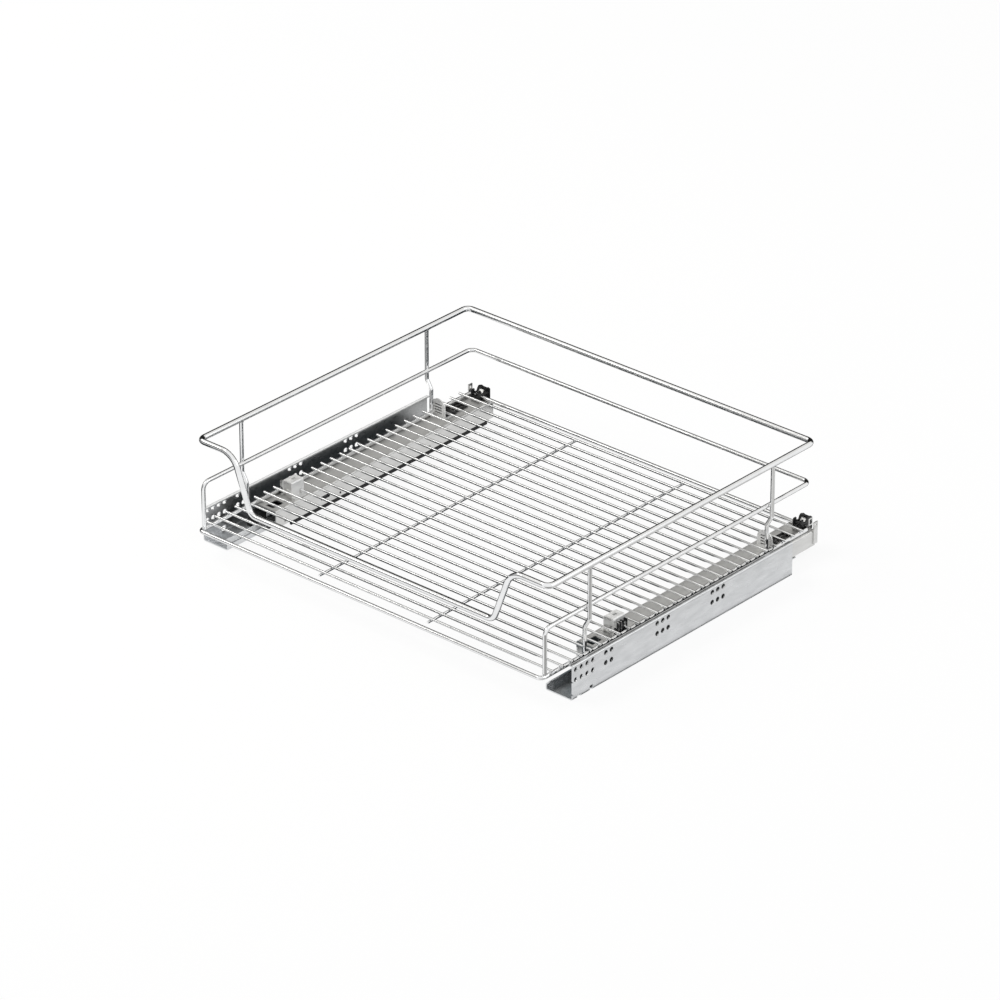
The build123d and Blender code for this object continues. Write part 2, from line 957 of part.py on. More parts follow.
def write(name, shape):
    """Shift a piece to the part's own origin and write it."""
    export_step(shape.moved(Location((0, -part_middle, 0))), f"parts/{name}.step")


os.makedirs("parts", exist_ok=True)
for name, shape in basket_pieces().items():
    write(name, shape)
for name, shape in slide_pieces().items():
    write(f"right_{name}", shape)
    write(f"left_{name}", shape.mirror(Plane.YZ))
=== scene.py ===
"""The looks of the pull-out wire basket and its two undermount slides.

Metres, in the part's own frame: X across, Y to the back, Z up. The chromed wires, the
zinc-plated slides and the plastic fittings each get a procedural material, and small
pieces that the photograph shows are built here over the solids that carry them.
"""

import math

import bmesh
import bpy
from mathutils import Euler, Matrix, Vector


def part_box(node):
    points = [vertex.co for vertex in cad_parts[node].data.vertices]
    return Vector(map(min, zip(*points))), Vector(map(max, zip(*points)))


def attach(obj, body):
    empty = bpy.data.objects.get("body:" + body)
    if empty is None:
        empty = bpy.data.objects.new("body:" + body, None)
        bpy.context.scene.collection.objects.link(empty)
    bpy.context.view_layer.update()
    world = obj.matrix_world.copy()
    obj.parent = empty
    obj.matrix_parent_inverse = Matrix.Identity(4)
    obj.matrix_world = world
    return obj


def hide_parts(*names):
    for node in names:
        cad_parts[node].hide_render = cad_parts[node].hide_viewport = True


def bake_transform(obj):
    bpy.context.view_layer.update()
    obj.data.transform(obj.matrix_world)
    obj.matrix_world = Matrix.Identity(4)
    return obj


MM = 0.001
SIDES = {"left": -1, "right": 1}

# The camera: its place in metres, its turn in degrees, its lens and sensor in millimetres
CAMERA_PLACE = (3.885814, -4.410253, 3.175404)
CAMERA_TURN = (62.1322, 0.0, 41.4707)
CAMERA_LENS = 208.5566
SENSOR_WIDTH = 36.0

# The details' own measures, in millimetres: X from the part's middle, Y from the front
# wire's centre, Z from the floor. MIDDLE is the part's middle in that Y.
MIDDLE = 240.25
BASE_DEPTH = 469.0
FLOOR_WIRES = 28
FLOOR_WIRE_LEVEL = 34.0
BASE_WIRE_PLACE = 260.5
SUPPORT_PLACE = 82.7
UPRIGHT_PLACES = (76.5, 394.5)
WEB_TOP = 29.0
LOUVRE_LEVELS = (34.8, 38.4, 42.0, 45.6)


# ---------------------------------------------------------------- node helpers

def new_material(name):
    material = bpy.data.materials.new(name)
    material.use_nodes = True
    material.node_tree.nodes.clear()
    return material


def node(tree, kind, **values):
    made = tree.nodes.new(kind)
    for key, value in values.items():
        setattr(made, key, value)
    return made


def link(tree, source, target):
    tree.links.new(source, target)


def object_places(tree, scale):
    """Object coordinates, stretched by a scale for each axis."""
    places = node(tree, "ShaderNodeTexCoord")
    mapping = node(tree, "ShaderNodeMapping")
    mapping.inputs["Scale"].default_value = scale
    link(tree, places.outputs["Object"], mapping.inputs["Vector"])
    return mapping.outputs["Vector"]


def noise(tree, places, scale, detail=4.0):
    made = node(tree, "ShaderNodeTexNoise")
    made.inputs["Scale"].default_value = scale
    made.inputs["Detail"].default_value = detail
    made.inputs["Roughness"].default_value = 0.5
    link(tree, places, made.inputs["Vector"])
    return made.outputs["Fac"]


# Noise hardly leaves this span, so a range or a ramp is laid over it
NOISE_LOW, NOISE_HIGH = 0.3, 0.7


def spread(tree, value, low, high):
    """A noise value turned into a range."""
    made = node(tree, "ShaderNodeMapRange")
    made.inputs["From Min"].default_value = NOISE_LOW
    made.inputs["From Max"].default_value = NOISE_HIGH
    made.inputs["To Min"].default_value = low
    made.inputs["To Max"].default_value = high
    link(tree, value, made.inputs["Value"])
    return made.outputs["Result"]


def blend_colours(tree, factor, low, high):
    """A noise value turned into a colour between two."""
    ramp = node(tree, "ShaderNodeValToRGB")
    ramp.color_ramp.elements[0].color = (*low, 1.0)
    ramp.color_ramp.elements[0].position = NOISE_LOW
    ramp.color_ramp.elements[1].color = (*high, 1.0)
    ramp.color_ramp.elements[1].position = NOISE_HIGH
    link(tree, factor, ramp.inputs["Fac"])
    return ramp.outputs["Color"]


def bump(tree, height, strength, distance):
    made = node(tree, "ShaderNodeBump")
    made.inputs["Strength"].default_value = strength
    made.inputs["Distance"].default_value = distance
    link(tree, height, made.inputs["Height"])
    return made.outputs["Normal"]


BUMP_DETAIL = 6.0


def surface(name, colour, rough, metallic, bumps, **sockets):
    """A principled material whose colour and roughness vary between two values each.

    colour and rough are (stretch, noise scale, low, high), and bumps is (stretch, noise
    scale, strength, distance).
    """
    material = new_material(name)
    tree = material.node_tree
    out = node(tree, "ShaderNodeOutputMaterial")
    shader = node(tree, "ShaderNodeBsdfPrincipled")
    link(tree, shader.outputs["BSDF"], out.inputs["Surface"])
    shader.inputs["Metallic"].default_value = metallic
    for socket, value in sockets.items():
        shader.inputs[socket.replace("_", " ")].default_value = value

    stretch, scale, low, high = colour
    grain = noise(tree, object_places(tree, stretch), scale)
    link(tree, blend_colours(tree, grain, low, high), shader.inputs["Base Color"])

    stretch, scale, smooth, dull = rough
    grain = noise(tree, object_places(tree, stretch), scale)
    link(tree, spread(tree, grain, smooth, dull), shader.inputs["Roughness"])

    stretch, scale, strength, distance = bumps
    grain = noise(tree, object_places(tree, stretch), scale, BUMP_DETAIL)
    link(tree, bump(tree, grain, strength, distance), shader.inputs["Normal"])
    return material


# ---------------------------------------------------------------- materials

CHROME = surface(
    "chrome_wire",
    colour=((1, 1, 1), 60.0, (0.80, 0.805, 0.81), (0.88, 0.885, 0.89)),
    rough=((1, 1, 1), 220.0, 0.05, 0.11),
    metallic=1.0,
    bumps=((1, 1, 1), 500.0, 0.05, 0.0002),
    Specular_Tint=(0.45, 0.45, 0.45, 1.0),
)
ZINC = surface(
    "zinc_sheet",
    colour=((1, 0.25, 1), 160.0, (0.58, 0.59, 0.60), (0.68, 0.69, 0.70)),
    rough=((6, 0.5, 6), 180.0, 0.26, 0.38),
    metallic=1.0,
    bumps=((8, 0.4, 8), 260.0, 0.08, 0.0002),
)
ZINC_WARM = surface(
    "zinc_sheet_warm",
    colour=((1, 0.25, 1), 160.0, (0.60, 0.60, 0.59), (0.68, 0.68, 0.67)),
    rough=((6, 0.5, 6), 180.0, 0.28, 0.40),
    metallic=1.0,
    bumps=((8, 0.4, 8), 260.0, 0.08, 0.0002),
)
ZINC_PALE = surface(
    "zinc_sheet_pale",
    colour=((1, 0.5, 1), 240.0, (0.84, 0.84, 0.83), (0.92, 0.92, 0.91)),
    rough=((2, 0.5, 2), 240.0, 0.30, 0.42),
    metallic=0.35,
    bumps=((4, 0.4, 4), 260.0, 0.08, 0.0002),
)
STEEL = surface(
    "steel_pin",
    colour=((1, 1, 1), 200.0, (0.55, 0.55, 0.54), (0.66, 0.66, 0.65)),
    rough=((1, 1, 1), 400.0, 0.18, 0.32),
    metallic=1.0,
    bumps=((1, 1, 1), 700.0, 0.06, 0.0001),
)
SPRING = surface(
    "spring_steel",
    colour=((1, 1, 1), 300.0, (0.20, 0.20, 0.21), (0.32, 0.32, 0.33)),
    rough=((1, 1, 1), 400.0, 0.25, 0.4),
    metallic=1.0,
    bumps=((1, 1, 1), 900.0, 0.05, 0.0001),
)
BLACK = surface(
    "black_plastic",
    colour=((1, 1, 1), 240.0, (0.006, 0.006, 0.0065), (0.012, 0.012, 0.013)),
    rough=((1, 1, 1), 500.0, 0.38, 0.52),
    metallic=0.0,
    bumps=((1, 1, 1), 2200.0, 0.25, 0.00008),
    Specular_IOR_Level=0.2,
)
MOULDED = surface(
    "black_moulding",
    colour=((1, 1, 1), 240.0, (0.006, 0.006, 0.0065), (0.012, 0.012, 0.013)),
    rough=((1, 1, 1), 500.0, 0.20, 0.32),
    metallic=0.0,
    bumps=((1, 1, 1), 2200.0, 0.15, 0.00008),
    Specular_IOR_Level=0.4,
)
GREY = surface(
    "grey_plastic",
    colour=((1, 1, 1), 200.0, (0.10, 0.105, 0.11), (0.15, 0.155, 0.16)),
    rough=((1, 1, 1), 500.0, 0.40, 0.55),
    metallic=0.0,
    bumps=((1, 1, 1), 2200.0, 0.25, 0.00008),
)
WHITE = surface(
    "white_plastic",
    colour=((1, 1, 1), 200.0, (0.66, 0.66, 0.63), (0.76, 0.76, 0.73)),
    rough=((1, 1, 1), 500.0, 0.32, 0.45),
    metallic=0.0,
    bumps=((1, 1, 1), 1800.0, 0.2, 0.00008),
)

# The finish of each material slot in the record
FINISHES = {
    "chrome_wire": CHROME,
    "zinc_sheet": ZINC,
    "steel_pin": STEEL,
    "spring_steel": SPRING,
    "black_plastic": BLACK,
    "grey_plastic": GREY,
    "white_plastic": WHITE,
}

# Sheet nodes of either side whose zinc looks warmer or paler than the rest
SHEETS = {
    "drawer_member": ZINC_WARM,
    "rear_tab": ZINC_WARM,
    "front_clip": ZINC_PALE,
    "rear_bracket": ZINC_PALE,
}


def dress_cad_nodes(nodes):
    """Smooth shading and a procedural finish on every CAD node."""
    for name, piece in nodes.items():
        sheet = SHEETS.get(name.split("_", 1)[-1])
        for slot in piece.material_slots:
            finish = slot.material.name.split(".")[0]
            slot.material = sheet or FINISHES[finish]
        piece.data.shade_smooth()


# ---------------------------------------------------------------- piece helpers

BEVEL_STEPS = 3
BEVEL_ANGLE = math.radians(35)


def new_piece(name, body, slot, mesh, replaced=(), finish=None):
    """A piece on a body, with the finish of a material slot or one of its own."""
    piece = bpy.data.objects.new(name, mesh)
    bpy.context.scene.collection.objects.link(piece)
    mesh.materials.append(finish or FINISHES[slot])
    mesh.shade_smooth()
    if body:
        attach(piece, body)
    if replaced:
        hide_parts(*replaced)
    return piece


def round_edges(piece, width):
    made = piece.modifiers.new("rounded_edges", "BEVEL")
    made.width = width
    made.segments = BEVEL_STEPS
    made.limit_method = "ANGLE"
    made.angle_limit = BEVEL_ANGLE
    made.harden_normals = True


def place_of(x, y, z):
    """A point in metres from one in the details' millimetres."""
    return (x * MM, (y - MIDDLE) * MM, z * MM)


def prism(bm, outline, left, right, sign):
    """A prism along X over an outline of (y, z), given for the right slide and mirrored."""
    near, far = [
        [bm.verts.new(place_of(sign * x, y, z)) for y, z in outline]
        for x in (left, right)
    ]
    bm.faces.new(near)
    bm.faces.new(list(reversed(far)))
    count = len(outline)
    for index in range(count):
        after = (index + 1) % count
        bm.faces.new((near[index], far[index], far[after], near[after]))


def finish_mesh(name, bm):
    bmesh.ops.recalc_face_normals(bm, faces=bm.faces)
    mesh = bpy.data.meshes.new(name)
    bm.to_mesh(mesh)
    bm.free()
    return mesh


def prisms_piece(name, slot, sign, prisms, rounding, replaced=(), finish=None):
    """A moulded or folded piece on the basket, made of prisms: (outline, left, right)."""
    bm = bmesh.new()
    for outline, left, right in prisms:
        prism(bm, outline, left, right, sign)
    piece = new_piece(name, "basket", slot, finish_mesh(name, bm), replaced, finish)
    round_edges(piece, rounding * MM)


def box_outline(front, rear, bottom, top):
    return [(front, bottom), (rear, bottom), (rear, top), (front, top)]


# ---------------------------------------------------------------- detail pieces

def add_rear_hook(side, sign):
    """The moulded hook over the base frame's rear wire, with a steel tongue and side frame."""
    left, right = 242.0, 254.2
    centre = (left + right) / 2
    cheek_width = 1.9
    saddle = [
        (466.2, WEB_TOP), (466.2, 34.3), (471.8, 34.3), (471.8, WEB_TOP), (474.3, WEB_TOP),
        (474.3, 24.0),
    ]
    cheek = [
        (461.0, WEB_TOP), *saddle, (483.0, 24.0), (483.0, 38.0), (480.5, 40.6), (473.4, 40.6),
        (471.4, 36.4), (466.8, 36.4), (466.2, 41.2), (462.2, 41.2), (461.0, 38.6),
    ]
    middle_rib = [
        (461.0, WEB_TOP), *saddle, (483.0, 24.0), (483.0, 31.5), (473.4, 35.4), (471.4, 36.2),
        (466.8, 36.2), (461.0, 34.6),
    ]
    prisms = [
        (cheek, left, left + cheek_width),
        (middle_rib, centre - cheek_width / 2, centre + cheek_width / 2),
        (cheek, right - cheek_width, right),
    ]
    front_core = box_outline(461.8, 465.4, 30.0, 34.0)
    rear_core = box_outline(476.4, 481.6, 25.0, 31.0)
    crossbar = box_outline(473.6, 477.4, 39.4, 42.0)
    for outline in (front_core, rear_core, crossbar):
        prisms.append((outline, left + 0.4, right - 0.4))
    prisms_piece(f"{side}_hook_body", "black_plastic", sign, prisms, 0.3,
                 (f"{side}_rear_hook",), MOULDED)

    tongue = [(471.9, 34.6), (472.7, 34.6), (476.6, 39.6), (475.8, 39.6)]
    steel = [(tongue, left + 1.6, right - 1.6)]
    frame_front, frame_rear, frame_bottom, frame_top = 475.2, 482.6, 29.1, 38.4
    window_front, window_rear, window_bottom, window_top = 476.9, 481.3, 30.6, 36.8
    for outline in (
        box_outline(frame_front, frame_rear, frame_bottom, window_bottom),
        box_outline(frame_front, frame_rear, window_top, frame_top),
        box_outline(frame_front, window_front, window_bottom, window_top),
        box_outline(window_rear, frame_rear, window_bottom, window_top),
    ):
        steel.append((outline, right - 0.1, right + 0.6))
    prisms_piece(f"{side}_hook_steel", "zinc_sheet", sign, steel, 0.15, finish=ZINC_PALE)


def add_bracket_latch(side, sign):
    """The ribbed plastic latch on the louvred bracket's foot, and black slats behind its slots that
    paint the shade in them.
    """
    tray = [(400.4, 30.2), (422.0, 29.1), (422.0, 30.6), (416.0, 31.6), (400.4, 31.8)]
    tray_rib = [
        (401.0, 31.4), (402.2, 33.4), (413.0, 33.2), (421.0, 30.3), (421.0, 29.8), (401.0, 30.6),
    ]
    horn = box_outline(407.0, 412.0, 30.4, 38.6)
    bridge = box_outline(410.7, 412.0, 30.4, 36.8)
    tongue_rib = [(421.0, 29.1), (446.0, 29.1), (444.0, 31.6), (423.0, 31.6)]
    painted_shade_post = box_outline(400.5, 401.5, 31.0, 44.0)

    prisms = [(tray, 241.5, 257.2)]
    for x in (242.2, 245.5, 248.8, 252.1, 255.4):
        prisms.append((tray_rib, x, x + 1.3))
    prisms += [(horn, 242.2, 243.5), (horn, 255.4, 256.7), (bridge, 243.0, 256.0)]
    for x in (243.2, 249.4, 255.6):
        prisms.append((tongue_rib, x, x + 1.6))
    for front in (428.4, 440.6):
        prisms.append((box_outline(front, front + 1.8, 29.1, 31.0), 243.6, 257.2))
    # Painted shade: black slats and posts set just behind the bracket's louvre slots, so the slots
    # look dark.
    for level in LOUVRE_LEVELS:
        slat = box_outline(400.3, 401.3, level - 1.2, level + 1.2)
        prisms.append((slat, 244.2, 257.8))
    for x in (244.2, 256.6):
        prisms.append((painted_shade_post, x, x + 1.2))
    prisms_piece(f"{side}_bracket_latch", "black_plastic", sign, prisms, 0.25, finish=MOULDED)


def add_clip_pieces(side, sign):
    """The clip's front plate with its fins, its plastic comb, and the ribs on its top."""
    comb_left, comb_right = 252.6, 257.0
    plate = [
        (box_outline(131.1, 132.2, 30.3, 46.5), 238.8, 247.4),
        (box_outline(131.1, 132.2, 39.0, 46.5), 247.4, 257.4),
        (box_outline(131.1, 134.5, 45.6, 46.5), 252.5, 257.4),
        (box_outline(135.5, 136.7, 30.4, 43.8), comb_left, comb_right),
        (box_outline(139.9, 141.1, 30.4, 43.8), comb_left, comb_right),
        (box_outline(144.6, 147.6, 30.4, 41.0), comb_left, comb_right),
    ]
    prisms_piece(f"{side}_clip_plate", "zinc_sheet", sign, plate, 0.3, finish=ZINC_WARM)

    root, tip, chamfer = 32.8, 44.6, 0.8
    comb = [(box_outline(132.4, 151.0, 30.3, 33.4), comb_left, 257.4)]
    for front, rear in ((132.6, 135.2), (137.0, 139.6), (141.4, 144.0), (148.2, 150.6)):
        tooth = [(front, root), (rear, root), (rear, 43.5), (rear - chamfer, tip), (front, tip)]
        comb.append((tooth, comb_left, 256.9))
    prisms_piece(f"{side}_clip_comb", "black_plastic", sign, comb, 0.25, finish=MOULDED)

    ribs = []
    for front in (134.0, 137.0, 148.2):
        ribs.append((box_outline(front, front + 1.1, 48.7, 49.35), 241.6, 249.4))
    prisms_piece(f"{side}_clip_ribs", "zinc_sheet", sign, ribs, 0.3, finish=ZINC_PALE)


def add_weld_bead(bm, place, reach):
    """A flattened, slightly lumpy nugget of weld where two wires cross, in millimetres."""
    rings, steps = 4, 10
    centre = Vector(place_of(*place))
    across, deep, high = [size * MM for size in reach]
    rows = []
    for ring in range(1, rings):
        tilt = math.pi * ring / rings
        row = []
        for step in range(steps):
            turn = 2 * math.pi * step / steps
            lump = math.sin(tilt) * (1 + 0.12 * math.sin(3 * turn + 40 * centre.y))
            offset = Vector((across * math.cos(turn) * lump, deep * math.sin(turn) * lump,
                             high * math.cos(tilt)))
            row.append(bm.verts.new(centre + offset))
        rows.append(row)
    top = bm.verts.new(centre + Vector((0, 0, high)))
    bottom = bm.verts.new(centre - Vector((0, 0, high)))
    for step in range(steps):
        after = (step + 1) % steps
        bm.faces.new((top, rows[0][step], rows[0][after]))
        bm.faces.new((bottom, rows[-1][after], rows[-1][step]))
        for upper, lower in zip(rows, rows[1:]):
            bm.faces.new((upper[step], lower[step], lower[after], upper[after]))


def add_weld_beads():
    """The nuggets where wires cross, in one mesh for each kind of joint."""
    pitch = BASE_DEPTH / (FLOOR_WIRES + 1)
    kinds = {
        "base_welds": (BASE_WIRE_PLACE, (1.7, 1.1, 0.75)),
        "support_welds": (SUPPORT_PLACE, (1.3, 1.0, 0.6)),
    }
    for name, (column, reach) in kinds.items():
        bm = bmesh.new()
        for x in (-column, column):
            for number in range(1, FLOOR_WIRES + 1):
                add_weld_bead(bm, (x, number * pitch, FLOOR_WIRE_LEVEL), reach)
        new_piece(name, "basket", "chrome_wire", finish_mesh(name, bm))

    # Each upright's three beads, at its foot, the middle rail and the top rail
    upright_beads = (
        ((258.6, 32.6), (1.6, 2.9, 1.9)),
        ((262.2, 91.0), (0.8, 2.0, 2.0)),
        ((264.5, 141.4), (2.9, 3.1, 0.8)),
    )
    bm = bmesh.new()
    for sign in SIDES.values():
        for y in UPRIGHT_PLACES:
            for (x, z), reach in upright_beads:
                add_weld_bead(bm, (sign * x, y, z), reach)
    new_piece("upright_welds", "basket", "chrome_wire", finish_mesh("upright_welds", bm))


def add_spot_welds(side, sign):
    """Shallow pressed rings on the drawer member's web, where the carrier rail is welded on."""
    count, first, pitch, column = 7, 165.0, 37.0, 236.0
    steps = 20
    # Each ring's radius and its height over the web
    rings = ((2.3, 0.0), (2.1, 0.14), (1.7, 0.17), (1.3, 0.06), (0.6, 0.04))
    bm = bmesh.new()
    for number in range(count):
        rows = []
        for radius, height in rings:
            row = []
            for step in range(steps):
                turn = 2 * math.pi * step / steps
                x = column + radius * math.cos(turn)
                y = first + number * pitch + radius * math.sin(turn)
                row.append(bm.verts.new(place_of(sign * x, y, WEB_TOP + height)))
            rows.append(row)
        for outer, inner in zip(rows, rows[1:]):
            for step in range(steps):
                after = (step + 1) % steps
                bm.faces.new((outer[step], outer[after], inner[after], inner[step]))
        bm.faces.new(rows[-1])
    name = f"{side}_spot_welds"
    new_piece(name, "basket", "zinc_sheet", finish_mesh(name, bm), finish=ZINC_WARM)


def add_return_spring(side):
    """The wound spring between the case's rear wall and the catch."""
    low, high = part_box(f"{side}_return_spring")
    centre_x = (low[0] + high[0]) / 2
    centre_z = (low[2] + high[2]) / 2
    wire = 0.25 * MM
    coil = (high[2] - low[2]) / 2 - wire
    turns, steps, sides = 34, 18, 6
    front, rear = low[1] + wire, high[1] - wire
    total = turns * steps
    along = Vector((0, 1, 0))
    bm = bmesh.new()
    rows = []
    for index in range(total + 1):
        turn = 2 * math.pi * index / steps
        outward = Vector((math.cos(turn), 0, math.sin(turn)))
        axis = Vector((centre_x, front + (rear - front) * index / total, centre_z))
        row = []
        for corner in range(sides):
            angle = 2 * math.pi * corner / sides
            offset = wire * (outward * math.cos(angle) + along * math.sin(angle))
            row.append(bm.verts.new(axis + coil * outward + offset))
        rows.append(row)
    for before, after in zip(rows, rows[1:]):
        for corner in range(sides):
            beside = (corner + 1) % sides
            bm.faces.new((before[corner], after[corner], after[beside], before[beside]))
    bm.faces.new(rows[0])
    bm.faces.new(list(reversed(rows[-1])))
    name = f"{side}_wound_spring"
    piece = new_piece(name, None, "spring_steel", finish_mesh(name, bm), (f"{side}_return_spring",))
    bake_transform(piece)


def add_details():
    for side, sign in SIDES.items():
        add_rear_hook(side, sign)
        add_bracket_latch(side, sign)
        add_clip_pieces(side, sign)
        add_spot_welds(side, sign)
        add_return_spring(side)
    add_weld_beads()


# ---------------------------------------------------------------- studio

WHITE_LIGHT = (1.0, 1.0, 1.0)
# The slate tint colours the dark glows that paint shade, the warm tint the pale glows that paint
# reflections and highlights, on cards that only mirrors see
SLATE_PAINTED_SHADE = (0.78, 0.93, 1.0)
WARM = (1.0, 0.99, 0.965)

# What a camera, mirror or glass ray sees of the world and the floor, and what lights the part
WORLD_SEEN = 1.0
WORLD_LIGHT = 0.5
FLOOR_REACH = 6.0
FLOOR_LEVEL = -0.0002
FLOOR_GREY = 0.8
FLOOR_GLOW = 1.04
FLOOR_GLOW_SHARE = 0.86

# Glowing cards that only mirrors see: painted reflections, dark ones painting shade and pale
# ones painting sheen, highlights and surroundings into the metal's mirror image. Flat ones lie
# at a level: left, right, front, rear, level, strength, colour. Upright ones face X: x, front,
# rear, bottom, top, strength. The two support cards lie 8 mm to either side of SUPPORT_PLACE,
# under the support wires.
FLAT_PAINTED_REFLECTIONS = {
    # Painted shade: dark glows under the basket floor and under its two support wires, which the
    # wires above them mirror as dark.
    "basket_painted_shade": (-0.222, 0.222, -0.228, 0.222, 0.0288, 0.05, SLATE_PAINTED_SHADE),
    "left_support_painted_shade": (-0.0907, -0.0747, -0.215, 0.215, 0.0290, 0.01, SLATE_PAINTED_SHADE),
    "right_support_painted_shade": (0.0747, 0.0907, -0.215, 0.215, 0.0290, 0.01, SLATE_PAINTED_SHADE),
    # Painted reflections: dark floor patches left of and behind the part.
    "left_card": (-1.4, -0.360, -0.6, 1.4, 0.0002, 0.04, SLATE_PAINTED_SHADE),
    "rear_card": (-0.295, 0.27, 0.26, 1.4, 0.0002, 0.04, SLATE_PAINTED_SHADE),
    # Painted reflections: pale glows overhead, which also hide the key lamp from mirrors.
    "sky_card": (-1.3, 2.2, 0.2, 6.5, 2.6, 0.9, WARM),
    "left_sky_card": (-4.6, -1.3, -5.6, 1.3, 2.6, 0.95, WARM),
    # Painted sheen: pale glows just over the drawer members' webs, which set the webs' mirrored
    # tone.
    "left_web_painted_sheen": (-0.2660, -0.2350, -0.148, 0.240, 0.0335, 0.48, WARM),
    "right_web_painted_sheen": (0.203, 0.239, -0.125, 0.265, 0.0500, 0.55, WARM),
    # Painted highlight: a pale glow over the right gap between the drawer member and the wall's
    # lip.
    "gap_card": (0.2640, 0.2760, -0.215, 0.165, 0.0446, 0.85, WARM),
    # Painted highlight: a bright glow over the left wall's lip.
    "lip_painted_highlight": (-0.2955, -0.2835, -0.210, 0.185, 0.0500, 1.4, WARM),
    # Painted shadow: a dark strip on the floor under the right wall's foot, mirrored as a dark
    # contact-shadow line along its bottom edge.
    "painted_contact_shadow_line": (0.2824, 0.2850, -0.214, 0.176, 0.0004, 0.01, SLATE_PAINTED_SHADE),
    # Painted reflections: pale floor patches right of the part.
    "right_front_card": (0.285, 0.62, -0.75, -0.21, 0.0003, 0.35, WARM),
    "right_card": (0.345, 0.62, -0.62, 0.35, 0.0002, 0.6, WARM),
    # Painted shade: dark glows on the floor under the left slide's inner gap and inside the right
    # trough's front.
    "left_gap_painted_shade": (-0.2445, -0.2300, -0.145, 0.235, 0.0002, 0.02, SLATE_PAINTED_SHADE),
    "trough_painted_shade": (0.200, 0.262, -0.188, -0.146, 0.020, 0.16, SLATE_PAINTED_SHADE),
}
# Painted shade: dark upright glows inside the slides, between the walls and the drawer members and
# beside the inner flanges, so these hollows and the right wall's holes mirror black.
UPRIGHT_PAINTED_SHADES = {
    "wall_painted_shade": (-0.2672, -0.150, 0.137, 0.002, 0.030, 0.02),
    "plate_card": (0.2745, -0.176, 0.172, 0.002, 0.040, 0.01),
    "window_painted_shade": (0.2325, -0.135, -0.095, 0.004, 0.0265, 0.02),
    "flange_painted_shade": (-0.2318, -0.100, 0.225, 0.004, 0.0265, 0.01),
}

# The far card stands across the view behind the part and only mirrors see it: a painted reflection,
# dark up to above the horizon, then pale, which paints the wires' dark edges
FAR_DISTANCE = 3.0
FAR_HALF_WIDTH = 5.0
FAR_GREYS = [(0.0, 0.02), (3.20, 0.02), (3.50, 0.85), (5.0, 0.85)]

# The near card stands between two places on the floor, on the camera's side; only mirrors see it, a
# grey painted reflection
NEAR_PLACES = ((-2.2, -0.6), (-0.2, -1.6))
NEAR_HEIGHT = 0.84
NEAR_GREY = 0.3

# Lamps: place, width and height, watts, colour
LAMP_TARGET = (0, 0, 0.05)
LAMPS = {
    "key": ((-2.2, -1.0, 3.0), (2.4, 1.8), 70.0, (1.0, 0.985, 0.95)),
    "fill": ((2.6, 1.2, 2.4), (2.4, 1.8), 25.0, (0.96, 0.98, 1.0)),
}


def lit_for_camera(tree, seen, unseen):
    """Mixes two shaders: one for camera, mirror and glass rays, one for the rest."""
    path = node(tree, "ShaderNodeLightPath")
    first = node(tree, "ShaderNodeMath", operation="MAXIMUM")
    link(tree, path.outputs["Is Camera Ray"], first.inputs[0])
    link(tree, path.outputs["Is Glossy Ray"], first.inputs[1])
    second = node(tree, "ShaderNodeMath", operation="MAXIMUM")
    link(tree, first.outputs[0], second.inputs[0])
    link(tree, path.outputs["Is Transmission Ray"], second.inputs[1])
    mixed = node(tree, "ShaderNodeMixShader")
    link(tree, second.outputs[0], mixed.inputs["Fac"])
    link(tree, unseen, mixed.inputs[1])
    link(tree, seen, mixed.inputs[2])
    return mixed.outputs[0]


def build_world():
    world = bpy.data.worlds.new("studio")
    bpy.context.scene.world = world
    world.use_nodes = True
    tree = world.node_tree
    tree.nodes.clear()
    out = node(tree, "ShaderNodeOutputWorld")
    backgrounds = []
    for strength in (WORLD_SEEN, WORLD_LIGHT):
        background = node(tree, "ShaderNodeBackground")
        background.inputs["Color"].default_value = (*WHITE_LIGHT, 1.0)
        background.inputs["Strength"].default_value = strength
        backgrounds.append(background.outputs[0])
    link(tree, lit_for_camera(tree, *backgrounds), out.inputs["Surface"])


def build_floor():
    """A pale matt floor that keeps the part's shadow and looks nearly white."""
    corners = [(-FLOOR_REACH, -FLOOR_REACH, 0), (FLOOR_REACH, -FLOOR_REACH, 0),
               (FLOOR_REACH, FLOOR_REACH, 0), (-FLOOR_REACH, FLOOR_REACH, 0)]
    mesh = bpy.data.meshes.new("floor")
    mesh.from_pydata(corners, [], [(0, 1, 2, 3)])
    floor = bpy.data.objects.new("floor", mesh)
    bpy.context.scene.collection.objects.link(floor)
    floor.location.z = FLOOR_LEVEL
    material = new_material("pale_floor")
    tree = material.node_tree
    out = node(tree, "ShaderNodeOutputMaterial")
    matt = node(tree, "ShaderNodeBsdfDiffuse")
    matt.inputs["Color"].default_value = (FLOOR_GREY, FLOOR_GREY, FLOOR_GREY, 1.0)
    glow = node(tree, "ShaderNodeEmission")
    glow.inputs["Color"].default_value = (*WHITE_LIGHT, 1.0)
    glow.inputs["Strength"].default_value = FLOOR_GLOW
    pale = node(tree, "ShaderNodeMixShader")
    pale.inputs["Fac"].default_value = FLOOR_GLOW_SHARE
    link(tree, matt.outputs[0], pale.inputs[1])
    link(tree, glow.outputs[0], pale.inputs[2])
    link(tree, lit_for_camera(tree, pale.outputs[0], matt.outputs[0]), out.inputs["Surface"])
    mesh.materials.append(material)


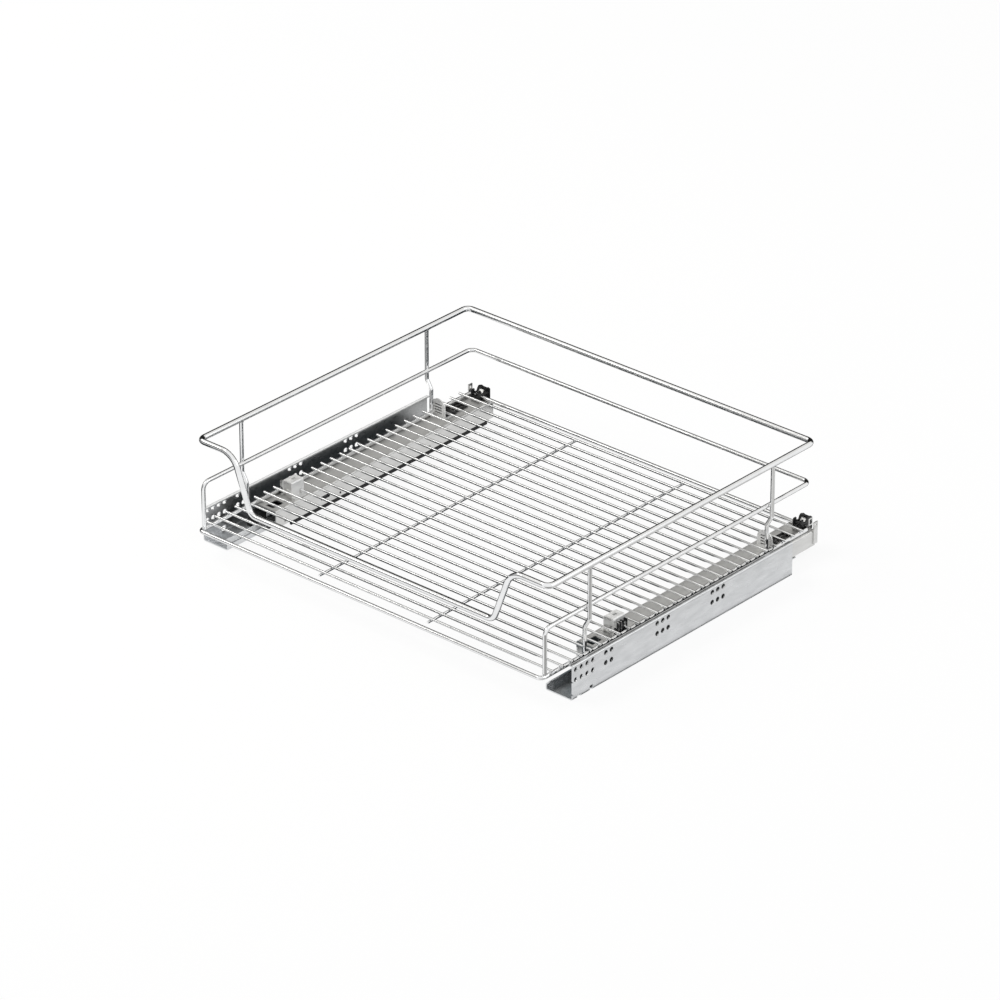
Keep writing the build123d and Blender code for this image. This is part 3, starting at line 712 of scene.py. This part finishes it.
def painted_reflection_glow(name, greys, colour):
    """The glow of a painted reflection card: its strength goes with height, as pairs of height and
    strength.
    """
    material = new_material(name)
    tree = material.node_tree
    out = node(tree, "ShaderNodeOutputMaterial")
    glow = node(tree, "ShaderNodeEmission")
    link(tree, glow.outputs[0], out.inputs["Surface"])
    if len(greys) == 1:
        glow.inputs["Color"].default_value = (*colour, 1.0)
        glow.inputs["Strength"].default_value = greys[0][1]
        return material
    brightest = max(grey for _, grey in greys)
    height = greys[-1][0]
    glow.inputs["Strength"].default_value = brightest
    places = node(tree, "ShaderNodeTexCoord")
    parts = node(tree, "ShaderNodeSeparateXYZ")
    link(tree, places.outputs["Object"], parts.inputs[0])
    share = node(tree, "ShaderNodeMath", operation="DIVIDE")
    share.inputs[1].default_value = height
    link(tree, parts.outputs["Z"], share.inputs[0])
    ramp = node(tree, "ShaderNodeValToRGB")
    ramp.color_ramp.interpolation = "EASE"
    stops = ramp.color_ramp.elements
    while len(stops) < len(greys):
        stops.new(0.5)
    for stop, (level, grey) in zip(stops, greys):
        stop.position = level / height
        stop.color = (*(grey / brightest * tint for tint in colour), 1.0)
    link(tree, share.outputs[0], ramp.inputs["Fac"])
    link(tree, ramp.outputs["Color"], glow.inputs["Color"])
    return material


def painted_reflection_card(name, corners, greys, colour):
    """A glowing card that only mirrors see: a painted reflection, dark where it paints shade and
    pale where it paints sheen or highlights.
    """
    mesh = bpy.data.meshes.new(name)
    mesh.from_pydata(corners, [], [(0, 1, 2, 3)])
    card = bpy.data.objects.new(name, mesh)
    bpy.context.scene.collection.objects.link(card)
    mesh.materials.append(painted_reflection_glow(name, greys, colour))
    card.visible_camera = False
    card.visible_diffuse = False
    card.visible_transmission = False
    card.visible_shadow = False


def standing_painted_reflection(name, start, end, height, greys, colour):
    """A painted reflection card that stands on the floor between two places (x, y)."""
    corners = [(*start, 0.0), (*end, 0.0), (*end, height), (*start, height)]
    painted_reflection_card(name, corners, greys, colour)


def build_painted_reflections():
    for name, (left, right, front, rear, level, strength, colour) in FLAT_PAINTED_REFLECTIONS.items():
        corners = [(left, front, level), (right, front, level),
                   (right, rear, level), (left, rear, level)]
        painted_reflection_card(name, corners, [(0.0, strength)], colour)
    for name, (x, front, rear, bottom, top, strength) in UPRIGHT_PAINTED_SHADES.items():
        corners = [(x, front, bottom), (x, rear, bottom), (x, rear, top), (x, front, top)]
        painted_reflection_card(name, corners, [(0.0, strength)], SLATE_PAINTED_SHADE)
    away = Matrix.Rotation(math.radians(CAMERA_TURN[2]), 3, "Z") @ Vector((0, 1, 0))
    centre = FAR_DISTANCE * away.xy
    reach = FAR_HALF_WIDTH * Vector((away.y, -away.x))
    standing_painted_reflection("far_painted_reflection", centre - reach, centre + reach, FAR_GREYS[-1][0], FAR_GREYS, WARM)
    standing_painted_reflection("near_painted_reflection", *NEAR_PLACES, NEAR_HEIGHT, [(0.0, NEAR_GREY)], WHITE_LIGHT)


def build_lamps():
    for name, (place, size, watts, colour) in LAMPS.items():
        light = bpy.data.lights.new(name, "AREA")
        light.color = colour
        light.shape = "RECTANGLE"
        light.size, light.size_y = size
        light.energy = watts
        holder = bpy.data.objects.new(name, light)
        bpy.context.scene.collection.objects.link(holder)
        holder.location = place
        aim = Vector(LAMP_TARGET) - Vector(place)
        holder.rotation_euler = aim.to_track_quat("-Z", "Y").to_euler()


def build_camera():
    data = bpy.data.cameras.new("photo_view")
    data.lens = CAMERA_LENS
    data.sensor_width = SENSOR_WIDTH
    data.clip_end = 100.0
    camera = bpy.data.objects.new("photo_view", data)
    bpy.context.scene.collection.objects.link(camera)
    camera.location = CAMERA_PLACE
    camera.rotation_euler = Euler([math.radians(turn) for turn in CAMERA_TURN])
    bpy.context.scene.camera = camera


def build_studio():
    build_world()
    build_floor()
    build_camera()
    build_painted_reflections()
    build_lamps()
    bpy.context.scene.view_settings.view_transform = "Standard"


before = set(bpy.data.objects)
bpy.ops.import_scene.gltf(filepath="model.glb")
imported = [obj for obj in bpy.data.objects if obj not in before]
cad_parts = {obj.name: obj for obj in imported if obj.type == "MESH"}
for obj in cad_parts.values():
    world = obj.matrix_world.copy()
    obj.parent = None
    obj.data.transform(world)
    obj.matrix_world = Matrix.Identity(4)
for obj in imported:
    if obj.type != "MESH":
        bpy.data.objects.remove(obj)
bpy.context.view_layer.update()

dress_cad_nodes(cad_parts)
add_details()
build_studio()
